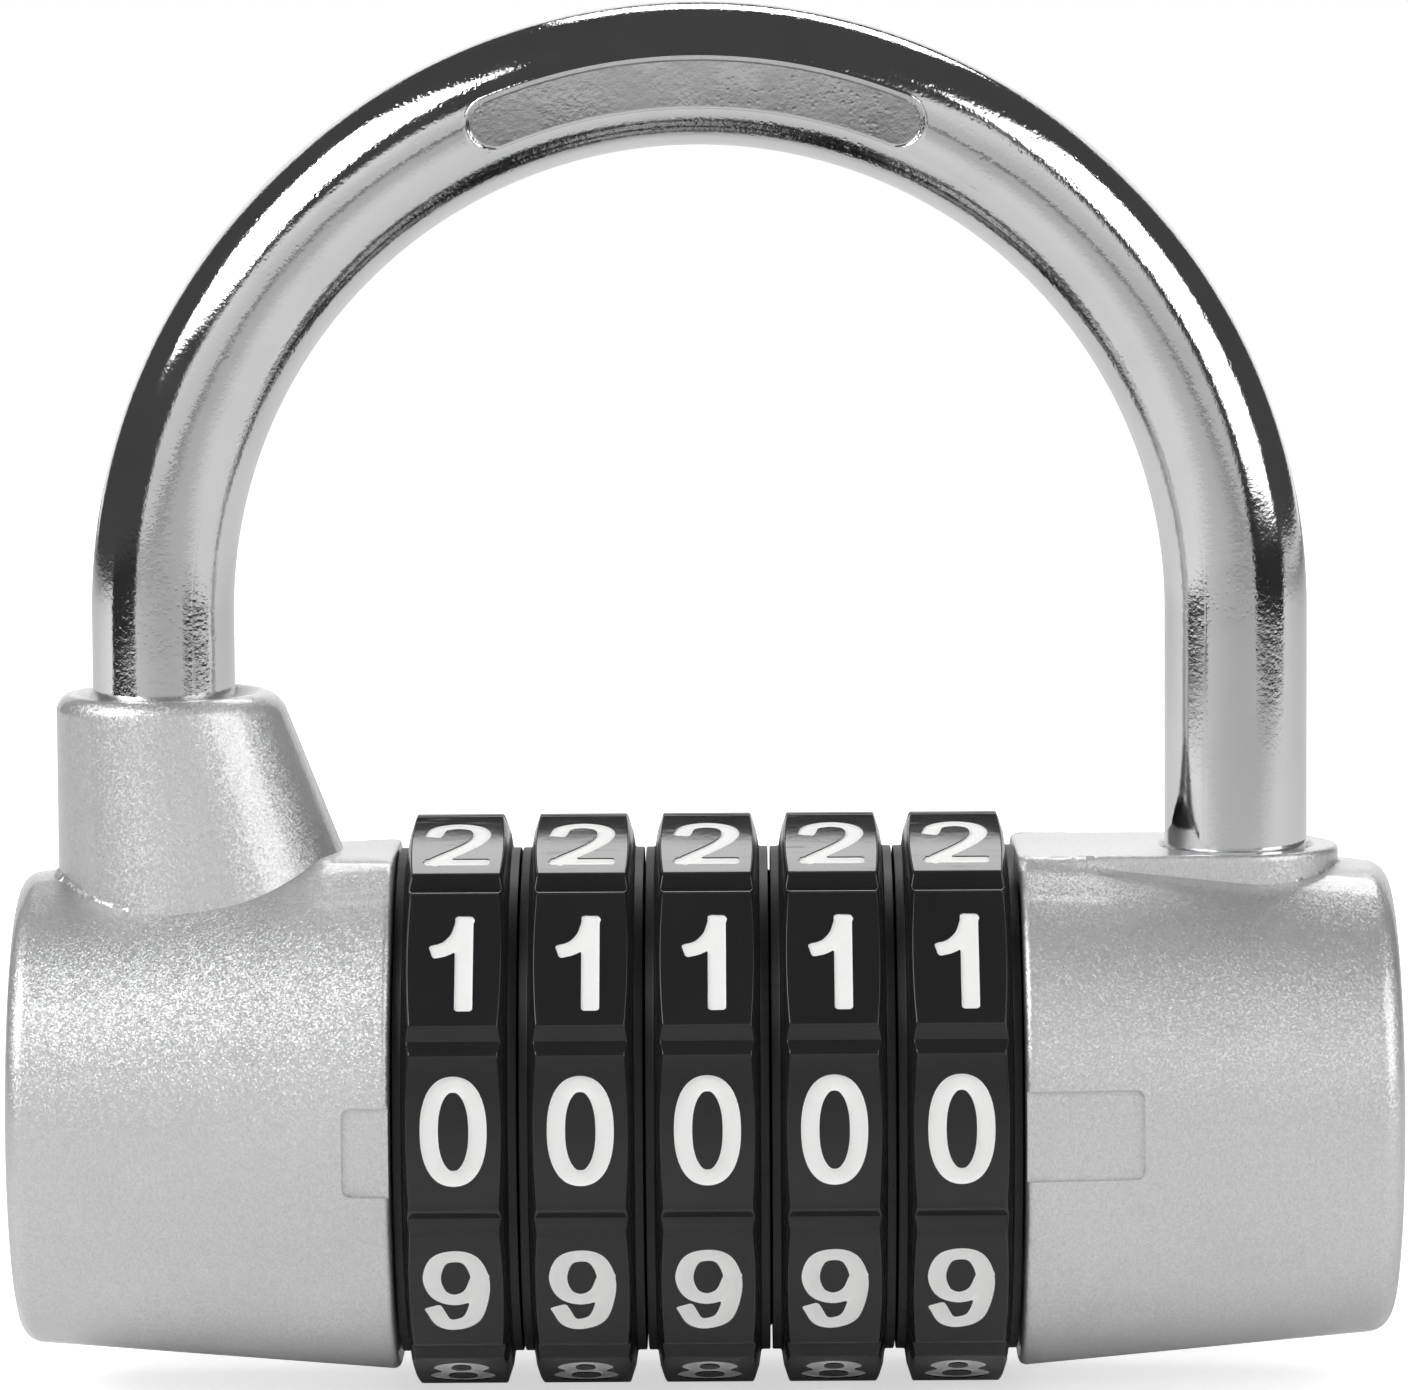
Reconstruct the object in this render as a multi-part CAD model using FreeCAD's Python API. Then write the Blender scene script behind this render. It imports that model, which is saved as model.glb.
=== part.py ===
"""Combination padlock with five dials and a wide round shackle.

Millimetres, +Z up. The dials turn about an axis along X and are read from the -Y side.
The pieces are drawn about the dials' axis and moved down together at the end, so that the
origin is where the padlock hangs: the underside of the bow, in the middle of the bar.
"""
import FreeCAD
import Part
import math
import os

V = FreeCAD.Vector

# shackle, bent from round bar
bar_r = 4.0
leg_spacing = 60.26
bow_rise = 27.65            # centre of the bow above the dials' axis
free_lift = 1.6             # travel that is left when the toe has come out of its hole
leg_end_gap = 0.3           # between each leg's end and the bottom of its hole
toe_chamfer = 0.7
heel_tip_h = 2.9            # captive leg below its groove
leg_fit = 0.08              # radial clearance of both legs in their holes
channel_w = 2.7             # groove in the captive leg that its pin runs in
channel_deep = 0.95

# panel pressed into the front of the bow
panel_half_angle = 25.0
panel_w = 2.9
panel_inset = 0.5           # its middle lies this far inside the bar's centre line
panel_cut = 0.5             # its flat floor below the front of the bar

# dials
dial_count = 5
dial_pitch = 6.94
dial_gap = 0.12             # between two neighbours
stack_shift = 0.35          # middle of the dials from the middle of the shackle
facet_count = 10
facet_edge_r = 16.13        # where a facet meets the groove at the corner
corner_half_angle = 2.75    # half of the groove between two facets, seen from the axis
corner_floor_r = 15.68
facet_inset_mid = 0.745     # from a dial's side to its facet's side, at the facet's middle
facet_inset_edge = 0.96     # and at the facet's corners
collar_r = 14.2
collar_w = 0.51
zero_angle = 2.2            # how far the zero facets stand above the axis
dial_shoulder_h = 0.7
dial_shoulder_w = 0.5

# numbered-code sleeves, one in each dial
sleeve_wall = 1.1
bore_fit = 0.1              # radial clearance of a sleeve in its dial
tooth_h = 0.8
tooth_w = 1.6
tooth_fit = 0.1
web_w = 1.0
sleeve_seat_gap = 0.05      # between a sleeve and its dial's shoulder
sleeve_end_gap = 0.06
click_notch_r = 1.1
click_notch_deep = 0.45

# housings, tapered barrels cast in one piece with turret and pad
face_gap = 0.11             # between the end dials and the housings
barrel_r = 15.2             # at the dials
barrel_end_r = 13.2
left_end_margin = 8.2       # from the captive leg's axis to its housing's outer end
right_end_margin = 8.6      # and from the toe's axis to its housing's
face_round = 0.5
end_round = 1.2
flat_drop = 0.9             # top flats below the barrels' full radius
pad_half_w = 5.75
pad_round = 0.3
mark_h = 5.0                # index marks
mark_left_len = 2.65
mark_left_drop = 0.7        # middle of the left mark below the axis
mark_right_len = 6.55
mark_deep = 0.2
mark_round = 0.5

# turret that guides the captive leg
turret_rise = 9.0           # turret's top above the top flats
turret_root = 4.2           # turret's foot below the barrel's full radius
turret_top_r = 6.2
turret_foot_r = 7.8
turret_back = 6.05          # from the leg's axis to the turret's outer side
turret_top_run = 0.1        # straight part of its sides at the top
turret_foot_run = 1.7       # and at the foot
turret_round = 1.2
sink_w = 0.85               # countersink round the captive leg
sink_deep = 0.75
pad_sink = 0.25

# core tube that the sleeves turn on
tube_r = 5.0
tube_wall = 1.8
flange_reach = 2.3          # flange's rim beyond the tube
flange_w = 1.6
fin_slot_w = 2.2
click_slot_w = 1.8
tenon_r = 3.0
tenon_wall = 0.27           # left between the wide part's end and the toe's hole
tenon_cap = 1.05            # left between the bore's end and the tenon
tenon_past_axis = 3.3       # tenon's end beyond the toe's axis
tenon_cover = 0.3           # left between the tenon and the screw head over it
sleeve_fit = 0.06
seat_fit = 0.02
tube_end_gap = 0.2          # between the tube's end and the bottom of its seat
housing_wall = 1.25         # left between the tube's seat and the captive leg's hole

# spindle with one fin for each dial, and its latch plate
spindle_fit = 0.06
fin_h = 1.2                 # fins' tips above the tube
fin_tip_gap = 0.3           # between a fin's tip and its sleeve
fin_w = 1.0
fin_h_fit = 0.1
fin_web_gap = 0.26          # left between a fin and its sleeve's web at the end of travel
spindle_travel = 4.0
spindle_end_gap = 0.1
plate_w = 1.6
plate_half_h = 2.5
plate_over_nose = 0.9
plate_gap = 0.4             # round the plate in its pocket
nose_len = 3.0
nose_half_w = 2.0
nose_gap = 0.25             # round the nose in its window
nose_tip_h = 0.5
toe_tip_h = 1.5             # toe below its notch
cam_h = 3.0                 # height of the sloping flank that drives the plate back
nose_fit = 0.12

# springs, pin and screws
spring_wire = 0.5
spring_side_gap = 0.4       # between the coil and the tube's bore
spring_turns = 5
spring_len = 7.1
click_strip = 0.35
click_half_w = 0.5
click_rail_fit = 0.1
click_rail_drop = 0.9       # strip below the tube's skin
click_tip_gap = 0.2         # between a hump and the bottom of its notch
click_offset = 0.9
pin_r = 1.2
pin_wall = 0.7              # left between the flange's seat and the pin
pin_bite = 0.82
pin_head_gap = 0.2
pin_end_gap = 0.1
tube_screw_r = 0.6
tube_screw_head_r = 0.95
tube_screw_len = 4.5
tube_screw_head_h = 0.7
lock_screw_r = 1.25
lock_screw_head_r = 2.4
lock_screw_head_h = 1.3
lock_screw_len = 10.6
screw_fit = 0.05

leg_x = leg_spacing / 2
bow_r = leg_spacing / 2
stack_half = (dial_count * dial_pitch - dial_gap) / 2
left_face_x = stack_shift - stack_half - face_gap
right_face_x = stack_shift + stack_half + face_gap
dial_half_w = (dial_pitch - dial_gap) / 2
dial_x = [stack_shift + (n - (dial_count - 1) / 2) * dial_pitch for n in range(dial_count)]
leg_hole_r = bar_r + leg_fit

pad_z = barrel_r - flat_drop
turret_top_z = pad_z + turret_rise
turret_foot_z = barrel_r - turret_root
toe_hole_z = tenon_r + tenon_cover + lock_screw_head_h
toe_end_z = toe_hole_z + leg_end_gap
shackle_lift = pad_z - toe_end_z + free_lift
nose_top_z = toe_end_z + toe_tip_h + cam_h + nose_tip_h
plate_top_z = nose_top_z + plate_over_nose
nose_deep = cam_h * spindle_travel / shackle_lift
nose_tip_x = leg_x - bar_r + nose_deep
plate_x = nose_tip_x - nose_len - plate_w

spring_seat_x = -(leg_x - leg_hole_r - housing_wall)
tube_left_x = spring_seat_x + tube_end_gap
tube_wide_end_x = leg_x - leg_hole_r - tenon_wall
tube_bore_end_x = tube_wide_end_x - tenon_cap
tube_bore_r = tube_r - tube_wall
flange_r = tube_r + flange_reach
spindle_r = tube_bore_r - spindle_fit
spring_r = tube_bore_r - spring_side_gap - spring_wire / 2

fin_r = tube_r + fin_h
recess_r = fin_r + fin_tip_gap
sleeve_r = recess_r + sleeve_wall
tooth_r = sleeve_r + tooth_h
dial_bore_r = sleeve_r + bore_fit
dial_shoulder_r = dial_bore_r - dial_shoulder_h
sleeve_left_x = -dial_half_w + dial_shoulder_w + sleeve_seat_gap
fin_offset = sleeve_left_x + web_w + fin_web_gap + spindle_travel + fin_w / 2
click_notch_centre_r = recess_r + click_notch_deep - click_notch_r
click_tip_r = recess_r + click_notch_deep - click_tip_gap
click_rail_z = tube_r - click_rail_drop
click_rail_half_w = click_slot_w / 2 - click_rail_fit

pin_z = flange_r + pin_wall + pin_r
channel_low_z = pin_z - shackle_lift - pin_r - pin_end_gap
heel_end_z = channel_low_z - heel_tip_h
tube_screw_ring_r = tube_r + flange_reach / 2
hang_drop = bow_rise + bow_r - bar_r


def rod_x(r, x0, x1, y=0.0, z=0.0):
    return Part.makeCylinder(r, x1 - x0, V(x0, y, z), V(1, 0, 0))


def rod_z(r, z0, z1, x=0.0, y=0.0):
    return Part.makeCylinder(r, z1 - z0, V(x, y, z0), V(0, 0, 1))


def block(x0, x1, y0, y1, z0, z1):
    return Part.makeBox(x1 - x0, y1 - y0, z1 - z0, V(x0, y0, z0))


def polygon(points):
    return Part.Face(Part.makePolygon(points + points[:1]))


def spun(outline):
    """Solid turned about the dials' axis from a closed outline of (x, radius) points."""
    face = polygon([V(x, 0, r) for x, r in outline])
    return face.revolve(V(0, 0, 0), V(1, 0, 0), 360)


def round_edges(solid, radius, wanted):
    return solid.makeFillet(radius, [e for e in solid.Edges if wanted(e)])


def turned(shape, degrees):
    """A copy turned about the dials' axis."""
    copy = shape.copy()
    copy.rotate(V(0, 0, 0), V(1, 0, 0), degrees)
    return copy


def around(shape, count, start=0.0):
    """Copies spaced evenly about the dials' axis, joined into one shape."""
    copies = [turned(shape, start + 360.0 * k / count) for k in range(count)]
    return copies[0].multiFuse(copies[1:])


def stadium(x0, x1, half, z):
    """Flat wire with straight sides along X and round ends, from x0 to x1."""
    a, b = x0 + half, x1 - half
    edges = [
        Part.LineSegment(V(a, -half, z), V(b, -half, z)).toShape(),
        Part.Arc(V(b, -half, z), V(x1, 0, z), V(b, half, z)).toShape(),
        Part.LineSegment(V(b, half, z), V(a, half, z)).toShape(),
        Part.Arc(V(a, half, z), V(x0, 0, z), V(a, -half, z)).toShape(),
    ]
    return Part.Wire(edges)


def front_point(radius, degrees):
    """Point of a dial's section: 0 degrees faces the reader, and positive goes up."""
    a = math.radians(degrees)
    return V(0, -radius * math.cos(a), radius * math.sin(a))


def bow_point(radius, degrees, y):
    """Point on the bow's plane, counted in degrees from its top towards +X."""
    a = math.radians(degrees)
    return V(radius * math.sin(a), y, bow_rise + radius * math.cos(a))


def bow_panel():
    """Cutter for the long panel with round ends that follows the bow."""
    middle = bow_r - panel_inset
    half = panel_w / 2
    reach = panel_half_angle - math.degrees(half / middle)
    y = -bar_r - 1
    inner, outer = middle - half, middle + half
    edges = [
        Part.Arc(bow_point(outer, -reach, y), bow_point(outer, 0, y),
                 bow_point(outer, reach, y)).toShape(),
        Part.Arc(bow_point(outer, reach, y), bow_point(middle, panel_half_angle, y),
                 bow_point(inner, reach, y)).toShape(),
        Part.Arc(bow_point(inner, reach, y), bow_point(inner, 0, y),
                 bow_point(inner, -reach, y)).toShape(),
        Part.Arc(bow_point(inner, -reach, y), bow_point(middle, -panel_half_angle, y),
                 bow_point(outer, -reach, y)).toShape(),
    ]
    return Part.Face(Part.Wire(edges)).extrude(V(0, 1 + panel_cut, 0))


def nose_outline(grow):
    """Side view of the latch nose, grown on every face that meets the toe."""
    tip = nose_tip_x + grow
    top = nose_top_z + grow
    slope_z = nose_top_z - nose_tip_h
    rise = grow * math.hypot(nose_deep, cam_h) / nose_deep
    run = nose_deep + grow
    low_z = slope_z - rise - run * cam_h / nose_deep + grow * cam_h / nose_deep
    root = leg_x - bar_r
    back = plate_x + plate_w / 2
    return [V(back, 0, top), V(tip, 0, top), V(tip, 0, slope_z - rise + grow * cam_h / nose_deep),
            V(root, 0, low_z), V(back, 0, low_z)]


def shackle():
    disc = Part.Face(Part.Wire(Part.makeCircle(bar_r, V(-leg_x, 0, bow_rise), V(0, 0, 1))))
    bow = disc.revolve(V(0, 0, bow_rise), V(0, 1, 0), 180)
    heel = rod_z(bar_r, heel_end_z, bow_rise, -leg_x)
    toe = rod_z(bar_r, toe_end_z, bow_rise, leg_x)
    body = bow.multiFuse([heel, toe]).removeSplitter()
    ends = [e for e in body.Edges
            if abs(e.CenterOfMass.z - e.BoundBox.ZMin) < 0.01 and e.BoundBox.ZLength < 0.01
            and (abs(e.BoundBox.ZMin - toe_end_z) < 0.01 or abs(e.BoundBox.ZMin - heel_end_z) < 0.01)]
    body = body.makeChamfer(toe_chamfer, ends)
    notch = polygon(nose_outline(nose_fit))
    notch = notch.extrude(V(0, 2 * bar_r, 0))
    notch.translate(V(0, -bar_r, 0))
    inner = -leg_x + bar_r - channel_deep
    channel = block(inner, inner + bar_r, -channel_w / 2, channel_w / 2,
                    channel_low_z, pin_z + pin_r + pin_end_gap)
    ring_z = channel_low_z + 2 * (pin_r + pin_end_gap)
    ring = rod_z(bar_r + 1, channel_low_z, ring_z, -leg_x)
    ring = ring.cut(rod_z(bar_r - channel_deep, channel_low_z, ring_z, -leg_x))
    return body.cut(bow_panel()).cut(notch).cut(channel).cut(ring)


def barrel(face_x, end_x):
    """Tapered barrel with its big end at the dials."""
    body = spun([(face_x, 0), (face_x, barrel_r), (end_x, barrel_end_r), (end_x, 0)])
    body = round_edges(body, face_round,
                       lambda e: abs(e.BoundBox.XMin - face_x) < 0.01 and e.BoundBox.XLength < 0.01)
    body = round_edges(body, end_round,
                       lambda e: abs(e.BoundBox.XMin - end_x) < 0.01 and e.BoundBox.XLength < 0.01)
    big = max(barrel_r, barrel_end_r) + 1
    top = block(min(face_x, end_x) - 1, max(face_x, end_x) + 1, -big, big, pad_z, pad_z + big)
    return body.cut(top)


def index_mark(face_x, end_x, length, drop=0.0):
    """Cutter for the shallow mark with round corners that runs in from the dial side."""
    side = 1 if end_x > face_x else -1
    x0, x1 = sorted((face_x - side * 3, face_x + side * length))
    tool = block(x0, x1, -barrel_r - 1, -barrel_end_r / 2, -drop - mark_h / 2, -drop + mark_h / 2)
    tool = round_edges(tool, mark_round, lambda e: e.BoundBox.YLength > 1)
    floor = spun([(face_x - side * 4, 0), (face_x - side * 4, barrel_r - mark_deep),
                  (face_x, barrel_r - mark_deep), (end_x, barrel_end_r - mark_deep), (end_x, 0)])
    return tool.cut(floor)


def turret():
    back_x = -leg_x - turret_back
    foot_end_x = back_x + 2 * turret_foot_r + turret_foot_run
    top_end_x = back_x + 2 * turret_top_r + turret_top_run
    body = Part.makeLoft([stadium(back_x, foot_end_x, turret_foot_r, turret_foot_z),
                          stadium(back_x, top_end_x, turret_top_r, turret_top_z)], True, True)
    return round_edges(body, turret_round, lambda e: e.BoundBox.ZMin > turret_top_z - 0.01)


def tube_screw_places():
    return [front_point(tube_screw_ring_r, a) for a in (30, 150, 270)]


def left_housing():
    end_x = -leg_x - left_end_margin
    body = barrel(left_face_x, end_x).fuse(turret()).removeSplitter()
    cuts = [
        rod_z(leg_hole_r, heel_end_z - leg_end_gap, turret_top_z + 1, -leg_x),
        Part.makeCone(leg_hole_r, leg_hole_r + sink_w, sink_deep,
                      V(-leg_x, 0, turret_top_z - sink_deep), V(0, 0, 1)),
        rod_x(flange_r + seat_fit, left_face_x - flange_w, left_face_x + 1),
        rod_x(tube_r + seat_fit, spring_seat_x, left_face_x),
        rod_x(pin_r + seat_fit, -leg_x, left_face_x + 1, 0, pin_z),
        index_mark(left_face_x, end_x, mark_left_len, mark_left_drop),
    ]
    for p in tube_screw_places():
        cuts.append(rod_x(tube_screw_r + seat_fit, left_face_x - tube_screw_len - 0.1,
                          left_face_x, p.y, p.z))
    return body.cut(cuts)


def right_housing():
    end_x = leg_x + right_end_margin
    pad = Part.Face(stadium(right_face_x - 3 * pad_half_w, leg_x + pad_half_w, pad_half_w, 0))
    pad = pad.extrude(V(0, 0, pad_z))
    pad = round_edges(pad, pad_round, lambda e: e.BoundBox.ZMin > pad_z - 0.01)
    pad = pad.common(block(right_face_x + face_round, end_x, -barrel_r, barrel_r, 0, barrel_r))
    body = barrel(right_face_x, end_x).fuse(pad).removeSplitter()
    pocket = block(right_face_x - 1, plate_x + plate_w + 2 * plate_gap, -plate_half_h - plate_gap,
                   plate_half_h + plate_gap, 0, plate_top_z + plate_gap)
    window = block(plate_x + plate_w, leg_x, -nose_half_w - nose_gap, nose_half_w + nose_gap,
                   nose_top_z - nose_tip_h - cam_h - nose_gap, nose_top_z + nose_gap)
    head_z = toe_hole_z - lock_screw_head_h - screw_fit
    cuts = [
        rod_z(leg_hole_r, toe_hole_z, pad_z + 1, leg_x),
        Part.makeCone(leg_hole_r, leg_hole_r + pad_sink, pad_sink,
                      V(leg_x, 0, pad_z - pad_sink), V(0, 0, 1)),
        pocket,
        window,
        rod_x(tube_r + seat_fit, right_face_x - 1, tube_wide_end_x + seat_fit),
        rod_x(tenon_r + seat_fit, right_face_x, leg_x + tenon_past_axis + 0.1),
        rod_z(lock_screw_head_r + screw_fit, head_z, toe_hole_z + 1, leg_x),
        rod_z(lock_screw_r + screw_fit, head_z - lock_screw_len - 0.3, head_z + 1, leg_x),
        index_mark(right_face_x, end_x, mark_right_len),
    ]
    return body.cut(cuts)


def core_tube():
    """Slotted tube with a flange at the left and a drilled tenon at the right."""
    body = rod_x(tube_r, tube_left_x, tube_wide_end_x)
    body = body.fuse(rod_x(flange_r, left_face_x - flange_w, left_face_x))
    body = body.fuse(rod_x(tenon_r, tube_wide_end_x, leg_x + tenon_past_axis)).removeSplitter()
    cuts = [
        rod_x(tube_bore_r, tube_left_x - 1, tube_bore_end_x),
        block(tube_left_x - 1, tube_bore_end_x, -fin_slot_w / 2, fin_slot_w / 2, 0, flange_r + 1),
        block(click_start_x() - 0.1, click_end_x() + 0.1, -click_slot_w / 2, click_slot_w / 2,
              -tube_r - 1, 0),
        rod_z(lock_screw_r + screw_fit, -tenon_r - 1, tenon_r + 1, leg_x),
    ]
    for p in tube_screw_places():
        cuts.append(rod_x(tube_screw_r + seat_fit, left_face_x - flange_w - 1, left_face_x,
                          p.y, p.z))
        cuts.append(rod_x(tube_screw_head_r + seat_fit, left_face_x - tube_screw_head_h,
                          left_face_x + 1, p.y, p.z))
    return body.cut(cuts)


def click_start_x():
    return dial_x[0] - 2.6


def click_end_x():
    return dial_x[-1] + 3.1


def fin_x(n):
    return dial_x[n] + fin_offset


def spindle():
    """Round spindle that slides in the core tube, with a fin standing up for each dial."""
    left = spring_seat_x + spring_len
    body = rod_x(spindle_r, left, tube_bore_end_x - spindle_end_gap)
    half = fin_slot_w / 2 - fin_h_fit
    for n in range(dial_count):
        fin = block(fin_x(n) - fin_w / 2, fin_x(n) + fin_w / 2, -half, half, 0, fin_r)
        body = body.fuse(fin)
    notch = block(plate_x, plate_x + plate_w, -half - seat_fit, half + seat_fit, 0, spindle_r + 1)
    return body.cut(notch).removeSplitter()


def latch_plate():
    """Plate that rises from the spindle through the tube's slot to the toe's notch."""
    half = fin_slot_w / 2 - fin_h_fit
    shank = block(plate_x, plate_x + plate_w, -half, half, 0, plate_top_z)
    head = block(plate_x, plate_x + plate_w, -plate_half_h, plate_half_h,
                 tube_r + plate_gap, plate_top_z)
    head = round_edges(head, 0.8, lambda e: e.BoundBox.XLength > 1
                       and e.BoundBox.ZMin > plate_top_z - 0.01)
    nose = polygon(nose_outline(0.0)).extrude(V(0, 2 * nose_half_w, 0))
    nose.translate(V(0, -nose_half_w, 0))
    return shank.multiFuse([head, nose]).removeSplitter()


def dial_section():
    """Ten flat facets with a shallow groove at each corner, as seen along the axis."""
    points = []
    step = 360.0 / facet_count
    for k in range(facet_count):
        middle = zero_angle + k * step
        reach = step / 2 - corner_half_angle
        points.append(front_point(facet_edge_r, middle - reach))
        points.append(front_point(facet_edge_r, middle + reach))
        points.append(front_point(corner_floor_r, middle + step / 2))
    return polygon(points)


def dial():
    """One dial about the middle of its width, before it is moved to its place."""
    prism = dial_section().extrude(V(2 * dial_half_w, 0, 0))
    prism.translate(V(-dial_half_w, 0, 0))
    facet_mid_r = facet_edge_r * math.cos(math.pi / facet_count - math.radians(corner_half_angle))
    base_w = dial_half_w - collar_w
    middle_w = dial_half_w - facet_inset_mid
    draft = base_w - middle_w
    slope = (facet_inset_edge - facet_inset_mid) / (facet_edge_r - facet_mid_r)
    tip_r = facet_edge_r + 0.3
    half = [
        (dial_half_w, collar_r), (base_w, collar_r),
        (middle_w + draft * 0.45, facet_mid_r - draft - 0.2),
        (middle_w, facet_mid_r), (middle_w - slope * (tip_r - facet_mid_r), tip_r),
    ]
    outline = [(dial_half_w, 0)] + half + [(-w, r) for w, r in reversed(half)] + [(-dial_half_w, 0)]
    body = spun(outline).common(prism)
    body = body.cut(rod_x(dial_shoulder_r, -dial_half_w - 1, dial_half_w + 1))
    body = body.cut(rod_x(dial_bore_r, -dial_half_w + dial_shoulder_w, dial_half_w + 1))
    half_w = tooth_w / 2 + tooth_fit
    groove = block(-dial_half_w + dial_shoulder_w, dial_half_w + 1, -half_w, half_w,
                   0, tooth_r + tooth_fit)
    return body.cut(around(groove, facet_count))


def sleeve():
    """Ring that carries a dial's code: toothed outside, gated web and click notches inside."""
    left = sleeve_left_x
    right = dial_half_w - sleeve_end_gap
    tooth = block(left, right, -tooth_w / 2, tooth_w / 2, recess_r + 0.3, tooth_r)
    body = rod_x(sleeve_r, left, right).fuse(around(tooth, facet_count)).removeSplitter()
    notch = rod_x(click_notch_r, left + web_w, right + 1, 0, -click_notch_centre_r)
    cuts = [
        rod_x(tube_r + sleeve_fit, left - 1, right + 1),
        rod_x(recess_r, left + web_w, right + 1),
        block(left - 1, left + web_w + 0.1, -fin_slot_w / 2, fin_slot_w / 2, 0, recess_r),
        around(notch, facet_count),
    ]
    return body.cut(cuts)


def spindle_spring():
    """Coil spring between the left housing and the end of the spindle."""
    length = spring_len - spring_wire - 0.1
    path = Part.makeHelix(length / spring_turns, length, spring_r)
    ring = Part.Wire(Part.makeCircle(spring_wire / 2, V(spring_r, 0, 0), V(0, 1, 0)))
    coil = Part.Wire(path.Edges).makePipeShell([ring], True, True)
    coil.rotate(V(0, 0, 0), V(0, 1, 0), 90)
    coil.translate(V(spring_seat_x + spring_wire / 2 + 0.05, 0, 0))
    return coil


def click_spring():
    """One sprung strip in the tube's lower slot, with a hump that clicks into each sleeve."""
    z = -click_rail_z
    rail = block(click_start_x(), click_end_x(), -click_rail_half_w, click_rail_half_w,
                 z - click_strip, z)
    humps = []
    for x in dial_x:
        x = x + click_offset
        top = z - click_strip / 2
        tip = -click_tip_r
        outline = [V(x - 1.9, 0, top), V(x - 0.35, 0, tip), V(x + 0.35, 0, tip), V(x + 1.9, 0, top),
                   V(x + 1.5, 0, top), V(x + 0.2, 0, tip + click_strip),
                   V(x - 0.2, 0, tip + click_strip), V(x - 1.5, 0, top)]
        hump = polygon(outline).extrude(V(0, 2 * click_half_w, 0))
        hump.translate(V(0, -click_half_w, 0))
        humps.append(hump)
    return rail.multiFuse(humps).removeSplitter()


def heel_pin():
    """Pin pressed in from the dial side, with its tip in the captive leg's groove."""
    tip_x = -leg_x + bar_r - pin_bite
    pin = rod_x(pin_r, tip_x, left_face_x - pin_head_gap, 0, pin_z)
    tip = [e for e in pin.Edges if abs(e.BoundBox.XMax - tip_x) < 0.01]
    return pin.makeChamfer(0.3, tip)


def tube_screws():
    """Three small screws that hold the tube's flange in the left housing."""
    screws = []
    for p in tube_screw_places():
        shaft = rod_x(tube_screw_r, left_face_x - tube_screw_len,
                      left_face_x - tube_screw_head_h, p.y, p.z)
        head = rod_x(tube_screw_head_r, left_face_x - tube_screw_head_h, left_face_x - 0.1,
                     p.y, p.z)
        socket = block(left_face_x - 0.45, left_face_x, p.y - 0.15, p.y + 0.15, p.z - 0.6, p.z + 0.6)
        screws.append(shaft.fuse(head).cut(socket))
    return Part.makeCompound(screws)


def lock_screw():
    """Screw at the bottom of the toe's hole that pins the tenon in the right housing."""
    head_z = toe_hole_z - lock_screw_head_h
    head = rod_z(lock_screw_head_r, head_z, toe_hole_z - 0.05, leg_x)
    shaft = rod_z(lock_screw_r, head_z - lock_screw_len, head_z, leg_x)
    socket = block(leg_x - 1.6, leg_x + 1.6, -0.35, 0.35, toe_hole_z - 0.6, toe_hole_z + 1)
    return head.fuse(shaft).cut(socket)


def build():
    pieces = {
        "shackle": shackle(),
        "left_housing": left_housing(),
        "right_housing": right_housing(),
        "core_tube": core_tube(),
        "spindle": spindle(),
        "latch_plate": latch_plate(),
        "spindle_spring": spindle_spring(),
        "click_spring": click_spring(),
        "shackle_retaining_pin": heel_pin(),
        "tube_screws": tube_screws(),
        "housing_screw": lock_screw(),
    }
    dial_shape = dial()
    sleeve_shape = sleeve()
    for n, x in enumerate(dial_x):
        for name, shape in (("dial", dial_shape), ("code_sleeve", sleeve_shape)):
            copy = shape.copy()
            copy.translate(V(x, 0, 0))
            pieces[f"{name}_{n + 1}"] = copy
    return pieces


os.makedirs("parts", exist_ok=True)
for name, shape in build().items():
    shape.translate(V(0, 0, -hang_drop))
    shape.exportStep(f"parts/{name}.step")
    box = shape.BoundBox
    print(f"{name}: {len(shape.Solids)} solids, valid {shape.isValid()}, volume {shape.Volume:.2f}, "
          f"X {box.XMin:.2f} {box.XMax:.2f} Y {box.YMin:.2f} {box.YMax:.2f} "
          f"Z {box.ZMin:.2f} {box.ZMax:.2f}")
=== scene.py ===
"""Combination padlock: a wide chromed shackle, two silver housings and five black dials.

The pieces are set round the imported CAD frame, which also gives the works inside.
"""
import bmesh
import bpy
import math
import numpy as np
from mathutils import Euler, Matrix, Vector


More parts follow.
